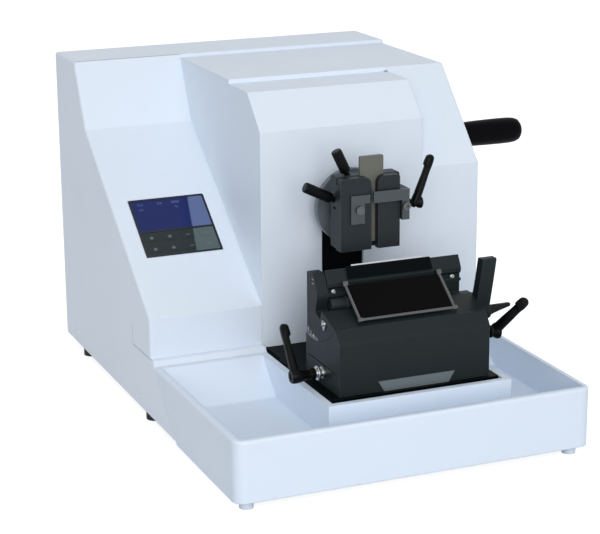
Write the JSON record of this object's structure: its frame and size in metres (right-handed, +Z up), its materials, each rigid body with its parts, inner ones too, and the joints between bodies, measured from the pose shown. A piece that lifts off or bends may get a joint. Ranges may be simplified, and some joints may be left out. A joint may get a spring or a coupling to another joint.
{
  "type": "rotary microtome",
  "caption": "Bench microtome: a handwheel lifts a specimen clamp past a blade in a tilting holder on a dovetail rail, with a sloped display console and a pull-out waste tray.",
  "frame": {"origin": "centre of the bounding box's base, on the bench", "axes": "+X to the right towards the handwheel, +Y back, +Z up"},
  "size_m": [0.5, 0.57, 0.35],
  "materials": {
    "housing": "satin",
    "tray": "satin",
    "casting": "matte",
    "rubber": "matte",
    "steel": "satin",
    "guide_plate": "satin",
    "rail": "satin",
    "dark_paint": "satin",
    "bezel": "satin",
    "screen": "gloss",
    "keys": "satin",
    "board": "matte",
    "black_plastic": "matte",
    "supply": "satin",
    "aluminium": "satin",
    "motor": "satin",
    "bronze": "satin",
    "housing_steel": "satin",
    "crank": "satin",
    "wheel": "satin",
    "beige": "satin",
    "bracket": "satin",
    "shift": "satin",
    "blade": "gloss",
    "pressure": "satin",
    "guard": "satin"
  },
  "bodies": {
    "machine": {"left_cover": "housing", "main_cover": "housing", "rear_cover": "housing", "plinth_cover": "housing", "base_casting": "casting", "rubber_feet": "rubber", "cover_screws": "steel", "guide_plate": "guide_plate", "dovetail_rail": "rail", "rail_screws": "steel", "display_bezel": "bezel", "display_screen": "screen", "key_panel": "keys", "control_board": "board", "power_supply": "supply", "mains_inlet": "black_plastic", "guide_column": "casting", "vertical_rails": "steel", "shaft_housing": "housing_steel", "shaft_pedestal": "casting", "shaft_bearings": "steel"},
    "waste_tray": {"section_tray": "tray"},
    "rocker": {"power_rocker": "black_plastic"},
    "wheel": {"handwheel": "wheel", "handwheel_shaft": "steel", "crank_disc": "crank", "grip_pin": "steel"},
    "grip": {"wheel_grip": "black_plastic"},
    "carriage": {"vertical_carriage": "aluminium", "guide_shoes": "bronze", "slot_shield": "aluminium", "crank_yoke": "aluminium", "feed_motor": "motor", "feed_screw": "steel"},
    "feed": {"specimen_cylinder": "steel", "orientation_ring": "dark_paint"},
    "gimbal": {"gimbal_block": "steel"},
    "clamp": {"clamp_body": "dark_paint", "fixed_jaw": "dark_paint", "backing_plate": "beige", "jaw_brackets": "bracket", "jaw_screws": "steel"},
    "knob_swing": {"swing_knob": "black_plastic"},
    "knob_tilt": {"tilt_knob": "black_plastic"},
    "jaw": {"moving_jaw": "dark_paint", "clamp_screw": "steel"},
    "head_lever": {"head_clamp_lever": "black_plastic"},
    "holder": {"holder_base": "dark_paint"},
    "base_lever": {"base_clamp_lever": "black_plastic", "base_clamp_shaft": "steel"},
    "tilt_lever": {"tilt_lock_lever": "black_plastic"},
    "segment": {"tilt_segment": "dark_paint", "index_plate": "steel"},
    "shift": {"shift_lever": "shift"},
    "blade_bed": {"blade_carriage": "dark_paint", "blade": "blade"},
    "press": {"pressure_plate": "pressure"},
    "clamp_rod": {"blade_clamp_rod": "steel"},
    "guard": {"guard_frame": "steel", "guard_plate": "guard"}
  },
  "joints": [
    {"name": "tray_pull", "type": "slide", "parent": "machine", "child": "waste_tray", "axis": [0, -1, 0], "range_m": [0, 0.22]},
    {"name": "power_switch", "type": "hinge", "parent": "machine", "child": "rocker", "pos_m": [-0.0035, 0.28, 0.06], "axis": [1, 0, 0], "range_deg": [-8, 8]},
    {"name": "handwheel_turn", "type": "hinge", "parent": "machine", "child": "wheel", "pos_m": [0.138, 0.12, 0.194], "axis": [1, 0, 0], "continuous": true},
    {"name": "grip_spin", "type": "hinge", "parent": "wheel", "child": "grip", "pos_m": [0.16, 0.09004, 0.25281], "axis": [1, 0, 0], "continuous": true},
    {"name": "cutting_stroke", "type": "slide", "parent": "machine", "child": "carriage", "axis": [0, 0, 1], "range_m": [-0.07, 0]},
    {"name": "specimen_feed", "type": "slide", "parent": "carriage", "child": "feed", "axis": [0, -1, 0], "range_m": [-0.017, 0.009]},
    {"name": "head_swing", "type": "hinge", "parent": "feed", "child": "gimbal", "pos_m": [-0.032, -0.074, 0.224], "axis": [0, 0, 1], "range_deg": [-5, 5]},
    {"name": "head_tilt", "type": "hinge", "parent": "gimbal", "child": "clamp", "pos_m": [-0.032, -0.074, 0.224], "axis": [1, 0, 0], "range_deg": [-5, 5]},
    {"name": "swing_knob_turn", "type": "hinge", "parent": "clamp", "child": "knob_swing", "pos_m": [-0.032, -0.096, 0.224], "axis": [-0.4384, 0, 0.8988], "range_deg": [-185, 185]},
    {"name": "tilt_knob_turn", "type": "hinge", "parent": "clamp", "child": "knob_tilt", "pos_m": [-0.032, -0.096, 0.224], "axis": [-0.8949, 0, 0.4462], "range_deg": [-185, 185]},
    {"name": "jaw_slide", "type": "slide", "parent": "clamp", "child": "jaw", "axis": [-1, 0, 0], "range_m": [0, 0.007]},
    {"name": "head_lever_turn", "type": "hinge", "parent": "jaw", "child": "head_lever", "pos_m": [0.015, -0.109, 0.233], "axis": [1, 0, 0], "range_deg": [-75, 20]},
    {"name": "holder_slide", "type": "slide", "parent": "machine", "child": "holder", "axis": [0, -1, 0], "range_m": [0, 0.03]},
    {"name": "base_lever_turn", "type": "hinge", "parent": "holder", "child": "base_lever", "pos_m": [-0.134, -0.177, 0.088], "axis": [1, 0, 0], "range_deg": [-20, 60]},
    {"name": "tilt_lever_turn", "type": "hinge", "parent": "holder", "child": "tilt_lever", "pos_m": [0.061, -0.193, 0.112], "axis": [1, 0, 0], "range_deg": [0, 55]},
    {"name": "blade_tilt", "type": "hinge", "parent": "holder", "child": "segment", "pos_m": [-0.0205, -0.1482, 0.1868], "axis": [1, 0, 0], "range_deg": [-6, 0]},
    {"name": "shift_lever_turn", "type": "hinge", "parent": "segment", "child": "shift", "pos_m": [0.0733, -0.175, 0.128], "axis": [1, 0, 0], "range_deg": [-30, 0]},
    {"name": "blade_shift", "type": "slide", "parent": "segment", "child": "blade_bed", "axis": [1, 0, 0], "range_m": [0, 0.012]},
    {"name": "pressure_plate_turn", "type": "hinge", "parent": "blade_bed", "child": "press", "pos_m": [-0.032, -0.1566, 0.1741], "axis": [1, 0, 0], "range_deg": [0, 20]},
    {"name": "clamp_rod_turn", "type": "hinge", "parent": "blade_bed", "child": "clamp_rod", "pos_m": [-0.1007, -0.1605, 0.151], "axis": [1, 0, 0], "range_deg": [0, 90]},
    {"name": "guard_swing", "type": "hinge", "parent": "blade_bed", "child": "guard", "pos_m": [-0.032, -0.1595, 0.171], "axis": [-1, 0, 0], "range_deg": [0, 90]}
  ],
  "couplings": [
    {"joint": "swing_knob_turn", "follows": "head_swing", "ratio": 36},
    {"joint": "tilt_knob_turn", "follows": "head_tilt", "ratio": 36}
  ]
}
